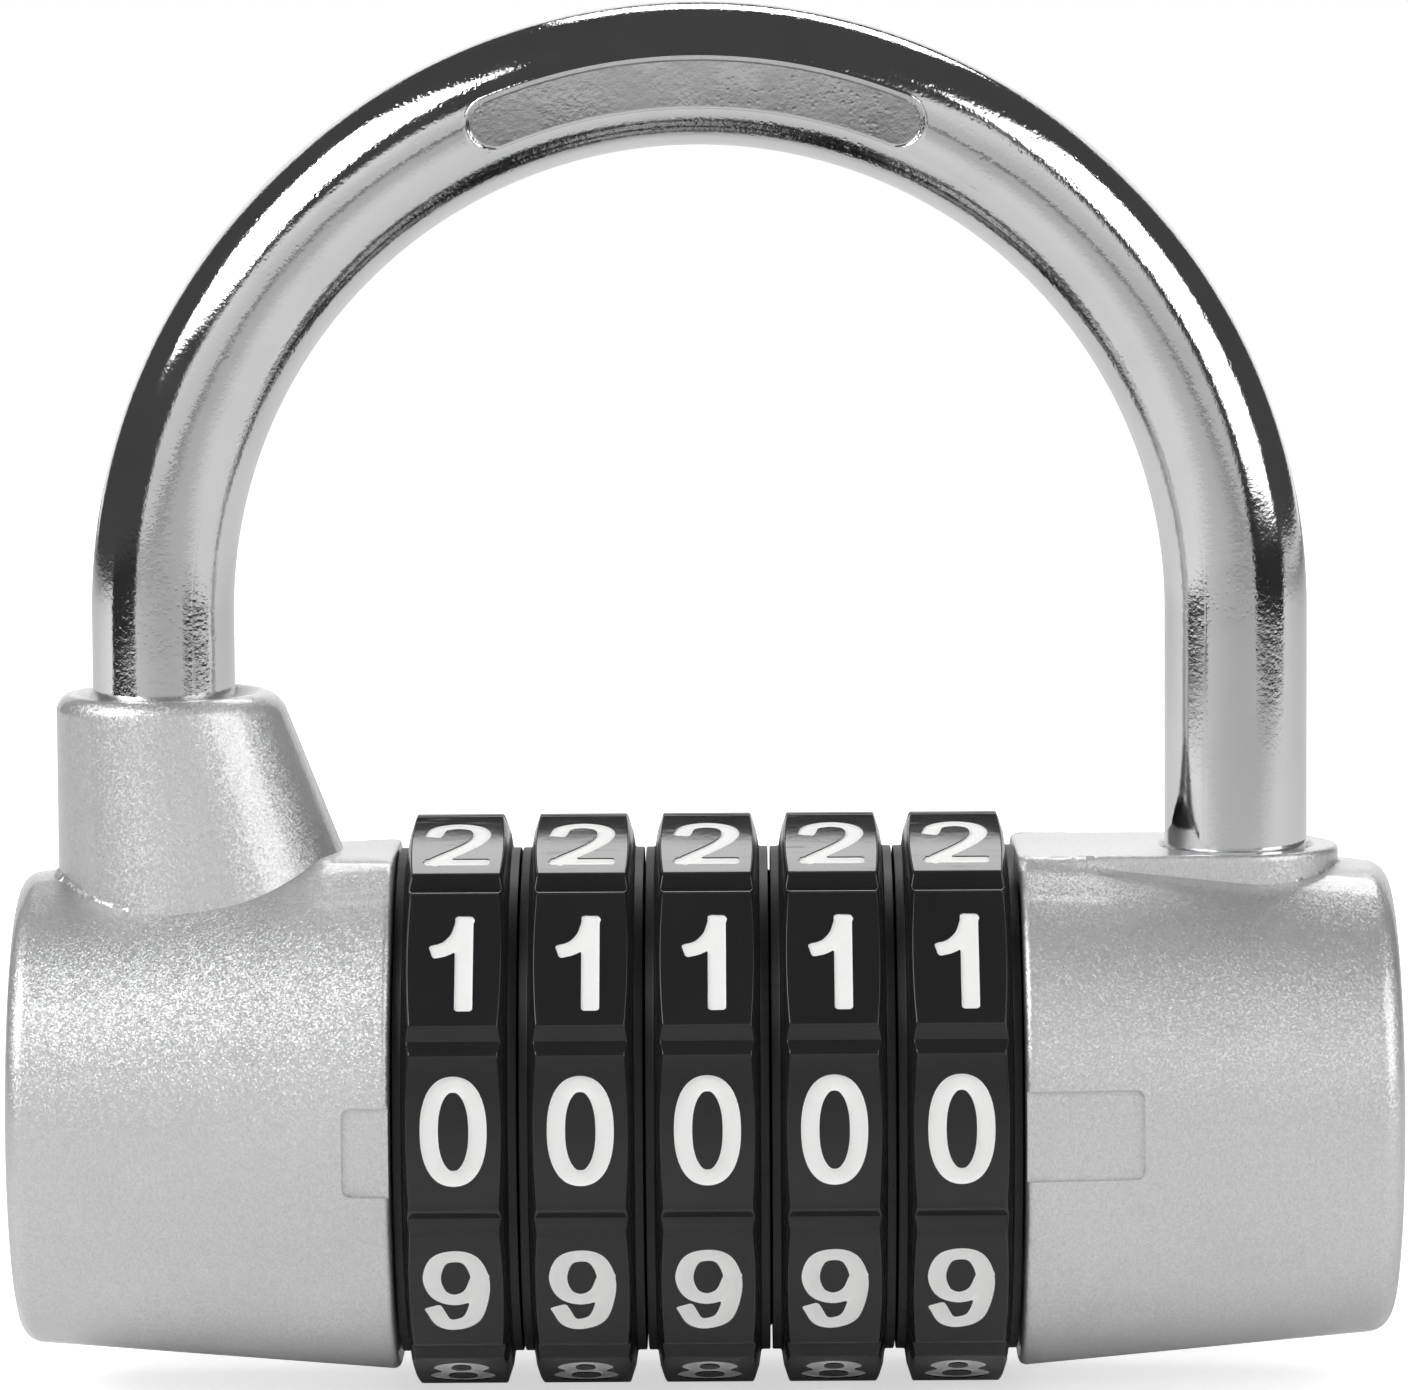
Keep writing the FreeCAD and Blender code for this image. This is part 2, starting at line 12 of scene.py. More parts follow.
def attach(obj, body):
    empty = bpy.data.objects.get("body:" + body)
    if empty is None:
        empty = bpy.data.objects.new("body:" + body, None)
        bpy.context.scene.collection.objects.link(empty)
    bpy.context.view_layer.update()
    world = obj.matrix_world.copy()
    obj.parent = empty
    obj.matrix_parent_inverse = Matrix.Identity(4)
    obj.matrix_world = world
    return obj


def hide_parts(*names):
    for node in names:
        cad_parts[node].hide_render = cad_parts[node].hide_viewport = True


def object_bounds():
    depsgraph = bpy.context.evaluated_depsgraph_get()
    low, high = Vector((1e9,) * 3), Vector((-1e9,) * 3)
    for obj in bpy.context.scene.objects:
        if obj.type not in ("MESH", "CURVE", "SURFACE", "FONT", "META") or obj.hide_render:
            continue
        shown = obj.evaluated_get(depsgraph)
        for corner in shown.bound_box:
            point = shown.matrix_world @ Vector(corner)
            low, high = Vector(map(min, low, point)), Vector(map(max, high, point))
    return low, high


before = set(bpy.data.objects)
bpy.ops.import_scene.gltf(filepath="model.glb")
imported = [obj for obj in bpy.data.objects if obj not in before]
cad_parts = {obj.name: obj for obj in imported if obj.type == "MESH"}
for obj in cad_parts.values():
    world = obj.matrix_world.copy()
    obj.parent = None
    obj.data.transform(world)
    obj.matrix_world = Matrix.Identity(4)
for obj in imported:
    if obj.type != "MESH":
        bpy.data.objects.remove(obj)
cad_low, cad_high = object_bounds()

# The view: a long lens a little above the dials, square to the front, so that the lock fills the
# picture from its shackle's top to the undersides of its dials.
mm = 0.001
eye = Vector((2.49, -437.0, 14.285)) * mm
aim = Vector((0.24, 0.0, -30.915)) * mm
view_data = bpy.data.cameras.new("photo_view")
view_data.sensor_fit = "HORIZONTAL"
view_data.sensor_width = 36.0
view_data.lens = 199.7
view_data.clip_start = 0.01
view = bpy.data.objects.new("photo_view", view_data)
view.location = eye
roll = Euler((0, 0, math.radians(-0.38))).to_quaternion()
view.rotation_euler = ((aim - eye).to_track_quat("-Z", "Y") @ roll).to_euler()
bpy.context.scene.collection.objects.link(view)
bpy.context.scene.camera = view
bpy.context.scene.view_settings.view_transform = "Standard"


# The room: a pale table that runs out to the horizon, a dim ceiling, and three soft boxes, one on
# each side of the reader and one above and behind the lock. Polished metal shows them as bands.
class Wire:
    """A shader socket that takes part in Python arithmetic."""

    def __init__(self, tree, socket):
        self.tree = tree
        self.socket = socket

    def math(self, operation, *others, clamp=False):
        step = self.tree.nodes.new("ShaderNodeMath")
        step.operation = operation
        step.use_clamp = clamp
        for place, value in zip(step.inputs, (self,) + others):
            plug(self.tree, place, value)
        return Wire(self.tree, step.outputs[0])

    def __add__(self, other):
        return self.math("ADD", other)

    def __sub__(self, other):
        return self.math("SUBTRACT", other)

    def __rsub__(self, other):
        return (self * -1.0).math("ADD", other)

    def __mul__(self, other):
        return self.math("MULTIPLY", other)

    def __truediv__(self, other):
        return self.math("DIVIDE", other)

    def __pow__(self, other):
        return self.math("POWER", other)

    __radd__ = __add__
    __rmul__ = __mul__

    def step_up(self, low, high):
        """0 below low, 1 above high, and smooth between."""
        return nodes_in(self.tree)("ShaderNodeMapRange", {"interpolation_type": "SMOOTHSTEP"},
                                   {"Value": self, "From Min": low, "From Max": high})


def plug(tree, place, value):
    """Links a wire to a socket, or sets the socket's own value."""
    if isinstance(value, Wire):
        tree.links.new(value.socket, place)
    else:
        place.default_value = value


def nodes_in(tree):
    """The one way to add any other node: type, settings, sockets and the output wanted."""
    def add(kind, settings=None, sockets=None, output=0):
        node = tree.nodes.new(kind)
        for name, value in (settings or {}).items():
            setattr(node, name, value)
        for name, value in (sockets or {}).items():
            plug(tree, node.inputs[name], value)
        return Wire(tree, node.outputs[output]) if node.outputs else None
    return add


def blank_tree(owner):
    owner.use_nodes = True
    owner.node_tree.nodes.clear()
    return owner.node_tree


def blend_colour(add, share, first, second):
    return add("ShaderNodeMix", {"data_type": "RGBA"}, {0: share, 6: first, 7: second}, 2)


def parts_of(add, vector):
    """The X, Y and Z of a vector."""
    split = add("ShaderNodeSeparateXYZ", {}, {"Vector": vector})
    return [Wire(split.tree, socket) for socket in split.socket.node.outputs]


def soft_box(name, azimuth, elevation, distance, width, height, brightness):
    """A softly lit panel. Azimuth 0 is behind the reader and goes towards their right."""
    a, e = math.radians(azimuth), math.radians(elevation)
    away = Vector((math.sin(a) * math.cos(e), -math.cos(a) * math.cos(e), math.sin(e)))
    lamp = bpy.data.lights.new(name, "AREA")
    lamp.shape = "RECTANGLE"
    lamp.size = width
    lamp.size_y = height
    lamp.energy = brightness * math.pi * width * height
    panel = bpy.data.objects.new(name, lamp)
    panel.location = room_middle + away * distance
    panel.rotation_euler = away.to_track_quat("Z", "Y").to_euler()
    panel.visible_camera = False
    bpy.context.scene.collection.objects.link(panel)


room_middle = Vector((0.0, 0.0, -0.03))
soft_box("side_light_right", 60, 28, 1.0, 0.65, 0.84, 2.9)
soft_box("side_light_left", -62, 40, 1.0, 0.70, 0.60, 5.6)
soft_box("back_light", 172.5, 46, 1.0, 0.56, 0.29, 4.4)

# Two black cards stand on the table, one at each side, and only reflections show them: polished bar
# needs something dark beside it.
black_card = bpy.data.materials.new("black_card")
add = nodes_in(blank_tree(black_card))
body = add("ShaderNodeBsdfDiffuse", {}, {"Color": (0.04, 0.04, 0.04, 1)})
add("ShaderNodeOutputMaterial", {}, {"Surface": body})
card_foot = -0.07
for name, x0, y0, x1, y1, card_top in (("dark_card_left", -0.30, -0.29, -0.34, -0.02, -0.02),
                                       ("dark_card_right", 0.25, -0.38, 0.44, -0.07, -0.01)):
    card_mesh = bpy.data.meshes.new(name)
    corners = [(x0, y0, card_foot), (x1, y1, card_foot), (x1, y1, card_top), (x0, y0, card_top)]
    card_mesh.from_pydata(corners, [], [(0, 1, 2, 3)])
    card_mesh.materials.append(black_card)
    card = bpy.data.objects.new(name, card_mesh)
    bpy.context.scene.collection.objects.link(card)
    card.visible_camera = card.visible_diffuse = card.visible_shadow = False

# What the lock reflects of the room, by direction: a lit wall behind the reader that is brighter
# to the left and above, another behind the lock, and dimmer ground below. The camera sees white.
sky = bpy.data.worlds.new("studio")
bpy.context.scene.world = sky
add = nodes_in(blank_tree(sky))
way = add("ShaderNodeTexCoord", {}, {}, "Generated")
across, depth, up = parts_of(add, way)
degree = math.pi / 180
height = up.math("ARCSINE") * (1 / degree)
turn = across.math("ARCTAN2", depth * -1.0) * (1 / degree)
side = turn.math("ABSOLUTE")
leftness = 1.0 - turn.step_up(-25, 15)
wall_light = 0.54 + height.step_up(2, 28) * 0.27 + leftness * 0.13
reader_wall = turn.step_up(-46, -40) * (1.0 - turn.step_up(27, 33)) * height.step_up(-2.0, -1.4) \
    * (1.0 - (height - turn * 0.3).step_up(25, 31)) * wall_light
back_wall = side.step_up(143, 150) * (1.0 - height.step_up(24, 28))
below = 1.0 - (height - turn.step_up(83, 88) * 4.0).step_up(-3.0, -2.2)
glow = 0.07 + reader_wall + back_wall + below * (1.0 - back_wall) * 0.6
seen = add("ShaderNodeLightPath", {}, {}, "Is Camera Ray")
glow = glow * (1.0 - seen) + seen
backdrop = add("ShaderNodeBackground", {}, {"Color": (1, 1, 1, 1), "Strength": glow})
add("ShaderNodeOutputWorld", {}, {"Surface": backdrop})

# The table lies just below the lock. Towards the reader its grey is painted darker, a painted shade
# where the lock only reflects it, and for the camera some light is added to it, so that it fades into
# the white background.
table_z = cad_low.z - 0.15 * mm
table_half = 1.6
table_mesh = bpy.data.meshes.new("table")
corners = [(x * table_half, y * table_half, table_z) for x, y in ((-1, -1), (1, -1), (1, 1), (-1, 1))]
table_mesh.from_pydata(corners, [], [(0, 1, 2, 3)])
table = bpy.data.objects.new("table", table_mesh)
bpy.context.scene.collection.objects.link(table)
pale = bpy.data.materials.new("pale_table")
add = nodes_in(blank_tree(pale))
spot = add("ShaderNodeTexCoord", {}, {}, "Object")
speckle = add("ShaderNodeTexNoise", {}, {"Vector": spot, "Scale": 900.0})
# painted shade: the table's grey is darker towards the reader, and lit grey nearer the lock
near = parts_of(add, spot)[1].step_up(-0.27, -0.10)
shaded = blend_colour(add, speckle, (0.60, 0.60, 0.60, 1), (0.64, 0.64, 0.64, 1))
lit = blend_colour(add, speckle, (0.91, 0.91, 0.91, 1), (0.95, 0.95, 0.95, 1))
matt = add("ShaderNodeBsdfDiffuse", {}, {"Color": blend_colour(add, near, shaded, lit)})
seen = add("ShaderNodeLightPath", {}, {}, "Is Camera Ray")
far = add("ShaderNodeVectorMath", {"operation": "LENGTH"}, {0: spot}, "Value").step_up(0.15, 0.6)
share = seen * (0.6 + far * 0.3)
grey = add("ShaderNodeCombineColor", {}, {0: share, 1: share, 2: share})
white = add("ShaderNodeEmission", {}, {"Color": grey, "Strength": 1.0})
add("ShaderNodeOutputMaterial", {}, {"Surface": add("ShaderNodeAddShader", {}, {0: matt, 1: white})})
table_mesh.materials.append(pale)


# The shackle: 8 mm hardened bar, bent to a half circle, polished and chromed. The front of the bow
# has a long panel with round ends pressed into it, and a thin raised lip runs round the panel.
# Its captive leg has the groove that a pin runs in, and its toe has the latch's notch.
axis_z = -53.78             # the dials' axis, below where the lock hangs
bar_r = 4.0
leg_x = 30.13
bow_z = -26.13
heel_z = -59.78
toe_z = -48.88
end_chamfer = 0.7
groove_low, groove_high, groove_r = -56.88, -54.28, 3.05
panel_reach = 25.0          # degrees from the bow's top to each end of the panel
panel_middle = 29.63
panel_half = 1.45
panel_floor_y = -3.5
panel_wall = 0.13
lip_h, lip_off, lip_spread = 0.04, 0.09, 0.075


def add_piece(name, points, faces, material=None, sharp=None):
    """A piece from points in millimetres; edges sharper than the angle stay crisp."""
    mesh = bpy.data.meshes.new(name)
    mesh.from_pydata([tuple(p) for p in np.asarray(points, float) * mm], [], faces)
    mesh.update()
    piece = bpy.data.objects.new(name, mesh)
    bpy.context.scene.collection.objects.link(piece)
    if material:
        mesh.materials.append(material)
    smooth(mesh, sharp)
    return piece


def smooth(mesh, sharp):
    mesh.polygons.foreach_set("use_smooth", [True] * len(mesh.polygons))
    if sharp is not None:
        mesh.set_sharp_from_angle(angle=math.radians(sharp))


def rings_to_faces(count, around):
    """Quads between rings of points, and a fan of triangles over each end point."""
    faces = []
    for i in range(count - 1):
        for j in range(around):
            k = (j + 1) % around
            a, b = i * around, (i + 1) * around
            faces.append((a + j, a + k, b + k, b + j))
    first, last = count * around, count * around + 1
    for j in range(around):
        k = (j + 1) % around
        faces.append((first, k, j))
        faces.append((last, (count - 1) * around + j, (count - 1) * around + k))
    return faces


def ramp(x, low, high):
    """0 below low, 1 above high, and smooth between."""
    t = np.clip((x - low) / (high - low), 0, 1)
    return t * t * (3 - 2 * t)


def carve(piece, cutters):
    """Cuts closed meshes out of a piece."""
    for cutter in cutters:
        cut = piece.modifiers.new("cut", "BOOLEAN")
        cut.operation = "DIFFERENCE"
        cut.solver = "MANIFOLD"
        cut.object = cutter
    settle(piece)
    for cutter in cutters:
        bpy.data.objects.remove(cutter)


def settle(piece):
    """Turns a piece's modifiers into its plain mesh."""
    bpy.context.view_layer.update()
    graph = bpy.context.evaluated_depsgraph_get()
    mesh = bpy.data.meshes.new_from_object(piece.evaluated_get(graph), depsgraph=graph)
    old = piece.data
    piece.modifiers.clear()
    piece.data = mesh
    bpy.data.meshes.remove(old)
    mesh.name = piece.name


def prism(name, outline, low, high):
    """Closed cutter from an outline in the X and Z directions, between two depths along Y."""
    count = len(outline)
    points = [(x, low, z) for x, z in outline] + [(x, high, z) for x, z in outline]
    faces = [tuple(range(count)), tuple(reversed(range(count, 2 * count)))]
    faces += [(i, i + count, (i + 1) % count + count, (i + 1) % count) for i in range(count)]
    cutter = add_piece(name, points, faces)
    face_out(cutter)
    return cutter


def face_out(piece):
    """Turns a closed mesh's faces outwards."""
    work = bmesh.new()
    work.from_mesh(piece.data)
    bmesh.ops.remove_doubles(work, verts=work.verts, dist=1e-8)
    bmesh.ops.recalc_face_normals(work, faces=work.faces)
    work.to_mesh(piece.data)
    work.free()


# Rings of points along the bar, close together round the panel.
turns = np.radians(np.concatenate([np.arange(-34, 18.6, 0.85), np.linspace(20.5, 322, 63)]))
fine_end = np.arange(21.4, 25.7, 0.11)
half_bow = np.concatenate([np.arange(0.45, 21.4, 0.9), fine_end, np.linspace(26.2, 90, 57)])
bow_turns = np.concatenate([-half_bow[::-1], half_bow])
heel_rings = [(heel_z, bar_r - end_chamfer), (heel_z + end_chamfer, bar_r), (groove_low, bar_r),
              (groove_low, groove_r), (groove_high, groove_r), (groove_high, bar_r)]
heel_rings += [(z, bar_r) for z in (-50, -45, -40, -35, -32, -30, -28.6, -27.3)]
toe_rings = [(z, bar_r) for z in (-27.3, -28.6, -30, -32, -35, -37, -39, -41, -42.5, -43.2, -43.8, -44.6,
                                  -45.4, -46.2, -47, -47.8, toe_z + end_chamfer)]
toe_rings += [(toe_z, bar_r - end_chamfer)]
stations = [(-leg_x, z, -90.0, r) for z, r in heel_rings]
stations += [(leg_x * math.sin(math.radians(t)), bow_z + leg_x * math.cos(math.radians(t)), t, bar_r)
             for t in bow_turns]
stations += [(leg_x, z, 90.0, r) for z, r in toe_rings]
points = []
for x, z, t, r in stations:
    a = math.radians(t)
    out = r * np.sin(turns)
    y = -r * np.cos(turns)
    if abs(t) < panel_reach + 1:
        along = abs(a) * panel_middle
        straight = math.radians(panel_reach) * panel_middle - panel_half
        off = leg_x + out - panel_middle
        edge = np.hypot(max(along - straight, 0.0), off) - panel_half
        front = np.cos(turns) > 0.5
        sunk = ramp(-edge, 0.0, panel_wall) * front
        lip = lip_h * np.exp(-((edge - lip_off) / lip_spread) ** 2) * ramp(off, -1.5, -0.6) * front
        y = y * (1 - sunk) + panel_floor_y * sunk - lip
    points += [(x + o * math.sin(a), v, z + o * math.cos(a)) for o, v in zip(out, y)]
points += [(-leg_x, 0, heel_z), (leg_x, 0, toe_z)]

chrome = bpy.data.materials.new("bright_chrome")
add = nodes_in(blank_tree(chrome))
place = add("ShaderNodeTexCoord", {}, {}, "Object")
grain = add("ShaderNodeTexNoise", {}, {"Vector": place, "Scale": 3600.0, "Detail": 3.0,
                                       "Roughness": 0.6})
peel = add("ShaderNodeTexNoise", {}, {"Vector": place, "Scale": 800.0, "Detail": 1.0})
pits = add("ShaderNodeTexVoronoi", {"feature": "F1"}, {"Vector": place, "Scale": 2600.0}, "Distance")
patchy = add("ShaderNodeTexNoise", {}, {"Vector": place, "Scale": 160.0, "Detail": 2.0}).step_up(0.42, 0.62)
across, depth, up = parts_of(add, place)
ring_r = (across * across + (up - bow_z * mm) ** 2.0) ** 0.5
on_floor = (1.0 - (depth - panel_floor_y * mm).math("ABSOLUTE").step_up(0.03 * mm, 0.06 * mm)) \
    * (1.0 - (ring_r - panel_middle * mm).math("ABSOLUTE").step_up(1.3 * mm, 1.5 * mm))
calm = 1.0 - across.step_up(0.02, 0.025) * (1.0 - up.step_up(-31.0 * mm, -25.0 * mm)) * 0.7
pitting = pits.math("MINIMUM", 0.35) * patchy * calm * 3.0
relief = (grain * 1.5 + peel * 1.1 + pitting) * (1.0 - on_floor * 0.85) * calm
bumps = add("ShaderNodeBump", {}, {"Height": relief, "Distance": 0.006 * mm, "Strength": 1.0})
dull = add("ShaderNodeTexNoise", {}, {"Vector": place, "Scale": 420.0, "Detail": 4.0}).step_up(0.35, 0.75)
rough = 0.045 + dull * 0.05
tint = blend_colour(add, patchy, (0.69, 0.69, 0.695, 1), (0.66, 0.66, 0.665, 1))
body = add("ShaderNodeBsdfPrincipled", {}, {
    "Base Color": tint, "Metallic": 1.0, "Roughness": rough, "Normal": bumps})
add("ShaderNodeOutputMaterial", {}, {"Surface": body})

shackle = add_piece("shackle_bar", points, rings_to_faces(len(stations), len(turns)), chrome)
face_out(shackle)
notch_top, notch_slope, notch_low = axis_z + 10.02, axis_z + 9.38, axis_z + 6.05
notch_x, notch_mouth_x = 27.34, 26.13
latch_notch = [(leg_x - 8, notch_top), (notch_x, notch_top), (notch_x, notch_slope), (notch_mouth_x, notch_low),
               (leg_x - 8, notch_low)]
carve(shackle, [prism("latch_notch", latch_notch, -4.5, 4.5)])
smooth(shackle.data, 35)
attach(shackle, "shackle_body")
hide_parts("shackle")

# The housings: two zinc castings, tapered barrels with their big ends at the dials, under satin
# silver paint. The left one rises into the turret that holds the captive leg, the right one has a
# flat pad round the toe's hole. Each has a shallow index mark that the dials are read against.
left_end_x, right_end_x = -38.33, 38.73
left_face_x, right_face_x = -17.05, 17.75
barrel_r, barrel_end_r = 15.2, 13.2
left_drop, right_drop = 0.3, 0.1     # how far the small ends' middles lie below the axis
flat_z = 14.3
turret_top_z, turret_foot_z = 23.3, 11.0
turret_top_r, turret_foot_r = 6.2, 7.8
turret_back, turret_top_reach, turret_foot_reach = 6.05, 6.45, 11.25
turret_draft = 0.97        # of a horizontal distance that counts square to the turret's sides
pad_half, pad_face_gap = 5.75, 0.4
hole_r, tube_seat_r, flange_seat_r = 4.08, 5.02, 7.32
face_edge, flat_edge = 0.45, 0.32      # outer edges' roundings
left_end_round, right_end_round, turret_round = 1.05, 1.25, 1.05
turret_sink = (0.85, 0.75, 0.55)       # countersinks: width, depth and rounding
pad_sink = (0.25, 0.25, 0.15)
crease_r = 0.015
pad_start_r = 1.2          # the pad's start is softer, and its crease is sharp beyond the second X
pad_soft_x, pad_sharp_x = 19.0, 25.0
skin = 0.22                # size of the paint surface's facets


def corner(a, b, radius):
    """Joins two surfaces' distances where both hold, with the outer edge rounded."""
    u, v = a + radius, b + radius
    return np.hypot(np.maximum(u, 0), np.maximum(v, 0)) + np.minimum(np.maximum(u, v), 0) - radius


def fillet(a, b, radius):
    """Joins two bodies' distances, with the inner edge filled."""
    return -corner(-a, -b, radius)


def barrel_skin(p, face_x, far_x, drop, end_round):
    """Distance from points to a tapered barrel, negative inside, like every field below."""
    x, y, z = p.T
    side = 1 if far_x > face_x else -1
    along = (x - face_x) / (far_x - face_x)
    wall = np.hypot(y, z + drop * along) - barrel_r - (barrel_end_r - barrel_r) * along
    d = corner(wall, (face_x - x) * side, face_edge)
    return corner(d, (x - far_x) * side, end_round)


def stadium_skin(x, y, x0, x1, half):
    return np.hypot(x - np.clip(x, x0 + half, x1 - half), y) - half


def countersunk(d, p, centre_x, top_z, width, deep, radius):
    """A body less the countersink round a leg: a cone whose lip is rounded."""
    q = np.hypot(p[:, 0] - centre_x, p[:, 1])
    cone = (hole_r + width + (p[:, 2] - top_z) * width / deep - q) * deep / math.hypot(width, deep)
    return corner(d, cone, radius)


def turret_skin(p):
    x, y, z = p.T
    h = np.clip((z - turret_foot_z) / (turret_top_z - turret_foot_z), -0.3, 1.2)
    half = turret_foot_r + (turret_top_r - turret_foot_r) * h
    inner = -leg_x + turret_foot_reach + (turret_top_reach - turret_foot_reach) * h
    wall = stadium_skin(x, y, -leg_x - turret_back, inner, half) * turret_draft
    turret = corner(corner(wall, z - turret_top_z, turret_round), 3.0 - z, 1.0)
    return countersunk(turret, p, -leg_x, turret_top_z, *turret_sink)


def left_barrel(p):
    barrel = barrel_skin(p, left_face_x, left_end_x, left_drop, left_end_round)
    return corner(barrel, p[:, 2] - flat_z, flat_edge)


def left_skin(p):
    return fillet(left_barrel(p), turret_skin(p), crease_r)


def pad_skin(p):
    x, y, z = p.T
    wall = stadium_skin(x, y, right_face_x - 20, leg_x + pad_half, pad_half)
    return corner(corner(wall, right_face_x + pad_face_gap - x, 0.3), 1.0 - z, 1.0)


def right_barrel(p):
    return barrel_skin(p, right_face_x, right_end_x, right_drop, right_end_round)


def right_skin(p):
    soft = crease_r + pad_start_r * (1 - ramp(p[:, 0], pad_soft_x, pad_sharp_x))
    body = corner(fillet(right_barrel(p), pad_skin(p), soft), p[:, 2] - flat_z, flat_edge)
    return countersunk(body, p, leg_x, flat_z, *pad_sink)


def slope_of(field, p):
    """Unit direction in which a distance grows, and how fast."""
    h = 0.004
    grad = np.stack([(field(p + h * e) - field(p - h * e)) / (2 * h) for e in np.eye(3)], 1)
    size = np.linalg.norm(grad, axis=1, keepdims=True)
    return grad / np.maximum(size, 1e-9), np.maximum(size[:, 0], 0.3)


def mesh_points(mesh):
    flat = np.empty(len(mesh.vertices) * 3)
    mesh.vertices.foreach_get("co", flat)
    return flat.reshape(-1, 3)


def full_turn(count):
    return np.arange(count) * 2 * math.pi / count


def closed_faces(count):
    """Two caps, and the quads between their rings of points."""
    faces = [tuple(reversed(range(count))), tuple(range(count, 2 * count))]
    return faces + [(i, (i + 1) % count, (i + 1) % count + count, i + count) for i in range(count)]


def drum(x0, x1, r0, r1, top=99.0, count=128):
    """Points and faces of a round body about the dials' axis, flattened above a height."""
    points = [(x, r * math.cos(t), min(r * math.sin(t), top)) for x, r in ((x0, r0), (x1, r1))
              for t in full_turn(count)]
    return points, closed_faces(count)


def drill(x, z0, z1, r, count=128):
    """Points and faces of an upright round body."""
    points = [(x + r * math.cos(t), r * math.sin(t), z) for z in (z0, z1) for t in full_turn(count)]
    return points, closed_faces(count)


def long_boss(x0, foot_x1, foot_half, foot_z, top_x1, top_half, top_z, count=64):
    """Points and faces of an upright body with round ends, between its foot and its top."""
    points = []
    for x1, half, z in ((foot_x1, foot_half, foot_z), (top_x1, top_half, top_z)):
        points += [((x0 + half if math.cos(t) < 0 else x1 - half) + half * math.cos(t),
                    half * math.sin(t), z) for t in full_turn(count)]
    return points, closed_faces(count)


def solid(name, *bodies):
    """One mesh from several closed bodies, about the dials' axis."""
    points, faces = [], []
    for more, sides in bodies:
        faces += [tuple(i + len(points) for i in f) for f in sides]
        points += [(x, y, z + axis_z) for x, y, z in more]
    piece = add_piece(name, points, faces)
    face_out(piece)
    return piece


def in_crease(p, bodies, reach):
    """Whether points on a skin lie within reach of the crease between its two bodies."""
    first, second = (body(p) for body in bodies)
    return (np.minimum(first, second) > -0.02) & (np.maximum(first, second) < reach)


def cast_skin(piece, field, *bodies):
    """Lays an even skin of small facets over a rough body and draws it on to the true surface.

    Points beside the crease between the two bodies move into the crease.
    """
    net = piece.modifiers.new("skin", "REMESH")
    net.mode = "VOXEL"
    net.voxel_size = skin * mm
    settle(piece)
    p = mesh_points(piece.data) / mm - (0, 0, axis_z)
    for _ in range(6):
        way, rate = slope_of(field, p)
        p = p - way * np.clip(field(p) / rate, -0.6, 0.6)[:, None]
    beside = np.flatnonzero(in_crease(p, bodies, 0.62 * skin))
    q = p[beside]
    for _ in range(8):
        for body in bodies:
            way, rate = slope_of(body, q)
            q = q - way * (body(q) / rate)[:, None]
    still_near = np.linalg.norm(q - p[beside], axis=1) < skin
    p[beside[still_near]] = q[still_near]
    piece.data.vertices.foreach_set("co", ((p + (0, 0, axis_z)) * mm).ravel())
    work = bmesh.new()
    work.from_mesh(piece.data)
    work.verts.ensure_lookup_table()
    bmesh.ops.connect_verts(work, verts=[work.verts[i] for i in beside[still_near]])
    work.to_mesh(piece.data)
    work.free()
    piece.data.update()


def paint_normals(piece, field, *bodies):
    """Shades the painted skin by the true surface and keeps the cut edges crisp."""
    mesh = piece.data
    smooth(mesh, 30)
    loops = len(mesh.loops)
    shaded = np.empty(loops * 3)
    mesh.corner_normals.foreach_get("vector", shaded)
    shaded = shaded.reshape(-1, 3)
    point_of = np.empty(loops, int)
    mesh.loops.foreach_get("vertex_index", point_of)
    sizes = np.empty(len(mesh.polygons), int)
    mesh.polygons.foreach_get("loop_total", sizes)
    flat = np.empty(len(mesh.polygons) * 3)
    mesh.polygons.foreach_get("normal", flat)
    facet = np.repeat(flat.reshape(-1, 3), sizes, axis=0)
    middles = np.empty(len(mesh.polygons) * 3)
    mesh.polygons.foreach_get("center", middles)
    middles = np.repeat(middles.reshape(-1, 3), sizes, axis=0) / mm - (0, 0, axis_z)
    p = mesh_points(mesh) / mm - (0, 0, axis_z)
    creased = in_crease(p, bodies, 0.02)[point_of]
    at_corner = p[point_of]
    at_corner[creased] += (middles - at_corner)[creased] * 0.8
    way, _ = slope_of(field, at_corner)
    on_skin = (np.abs(field(p)) < 0.04)[point_of] & ((way * facet).sum(1) > 0.8)
    shaded[on_skin] = way[on_skin]
    mesh.normals_split_custom_set(shaded)


